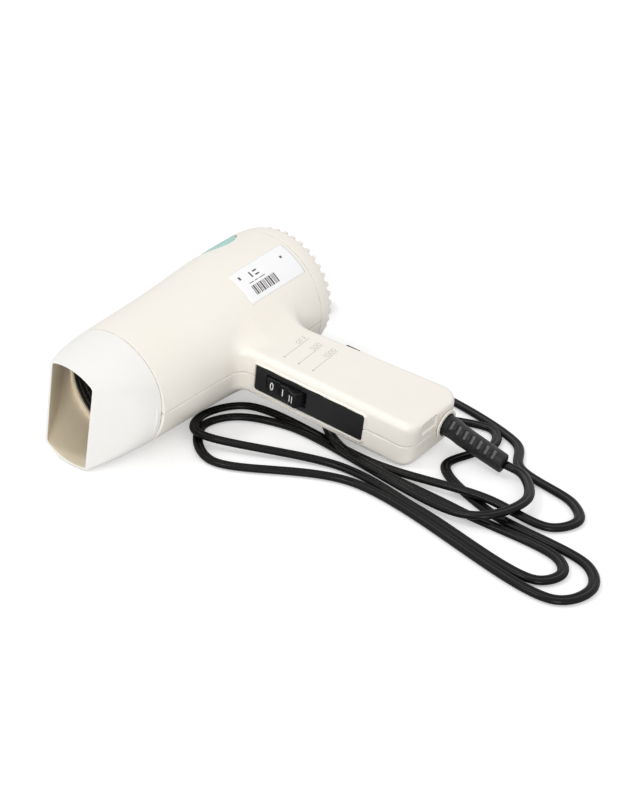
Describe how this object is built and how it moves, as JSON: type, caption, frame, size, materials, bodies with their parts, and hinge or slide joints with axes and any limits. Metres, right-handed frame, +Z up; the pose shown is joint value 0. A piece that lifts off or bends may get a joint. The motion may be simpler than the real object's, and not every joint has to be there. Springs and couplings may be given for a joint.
{
  "type": "hair dryer",
  "caption": "Hand-held hair dryer lying on its side: round barrel, flattened nozzle, straight handle with rocker switch, lead with plug.",
  "frame": {"origin": "middle of the dryer footprint on the surface it lies on, lead and plug left out", "axes": "+Z up from the surface, +X toward the end of the handle and its lead, +Y toward the air intake, so the air leaves toward -Y"},
  "size_m": [0.3168, 0.2552, 0.0799],
  "materials": {
    "cream_plastic": "moulded, lightly polished",
    "white_plastic": "moulded, lightly polished",
    "black_gloss": "polished",
    "black_enamel": "satin enamel",
    "black_rubber": "soft satin",
    "teal_plastic": "satin",
    "mica": "matt mica sheet",
    "steel": "plated",
    "grey_plastic": "matt",
    "brass": "plain",
    "film_capacitor": "dipped",
    "red_wire": "insulation",
    "blue_wire": "insulation"
  },
  "bodies": {
    "casing": {"cord": "black_rubber", "plug_body": "black_rubber", "plug_sleeve_1": "grey_plastic", "plug_pin_1": "brass", "plug_sleeve_2": "grey_plastic", "plug_pin_2": "brass", "casing_top": "cream_plastic", "casing_bottom": "cream_plastic", "casing_screw_1": "steel", "casing_screw_2": "steel", "casing_screw_3": "steel", "casing_screw_4": "steel", "badge": "teal_plastic", "front_grille": "black_enamel", "heater_tube": "mica", "heater_board_a": "mica", "heater_board_b": "mica", "heater_coil": "steel", "thermostat": "steel", "thermal_fuse": "steel", "motor_mount": "cream_plastic", "motor_can": "steel", "motor_end_cap": "grey_plastic", "rectifier_board": "mica", "rear_cover": "cream_plastic", "intake_screen": "grey_plastic", "switch_plate": "black_gloss", "rocker_pin": "steel", "switch_body": "grey_plastic", "switch_terminal_1": "brass", "switch_terminal_2": "brass", "switch_terminal_3": "brass", "half_power_diode": "black_gloss", "capacitor": "film_capacitor", "button_spring": "steel", "button_switch": "grey_plastic", "cord_bush": "cream_plastic", "strain_relief": "black_rubber", "lead_inner": "black_rubber", "cord_clamp": "grey_plastic", "clamp_screw_1": "steel", "clamp_screw_2": "steel", "wire_live": "red_wire", "wire_neutral": "blue_wire", "wire_switched": "red_wire"},
    "nozzle": {"nozzle": "white_plastic"},
    "fan": {"fan": "white_plastic", "motor_shaft": "steel"},
    "rocker": {"rocker": "black_gloss"},
    "rear_button": {"rear_button": "black_gloss"}
  },
  "joints": [
    {"name": "nozzle_turn", "type": "hinge", "parent": "casing", "child": "nozzle", "pos_m": [-0.07021, -0.06278, 0.03244], "axis": [0, 0.9982, 0.0602], "continuous": true},
    {"name": "fan_spin", "type": "hinge", "parent": "casing", "child": "fan", "pos_m": [-0.07021, 0.04702, 0.03907], "axis": [0, 0.9982, 0.0602], "continuous": true},
    {"name": "rocker_tilt", "type": "hinge", "parent": "casing", "child": "rocker", "pos_m": [-0.00603, 0.01258, 0.0256], "axis": [0.1744, -0.0593, 0.9829], "range_deg": [0, 16]},
    {"name": "rear_button_press", "type": "slide", "parent": "casing", "child": "rear_button", "axis": [0.0488, -0.9964, -0.0688], "range_m": [0, 0.002], "stiffness_N_per_m": 600, "deforming": ["button_spring"]}
  ]
}
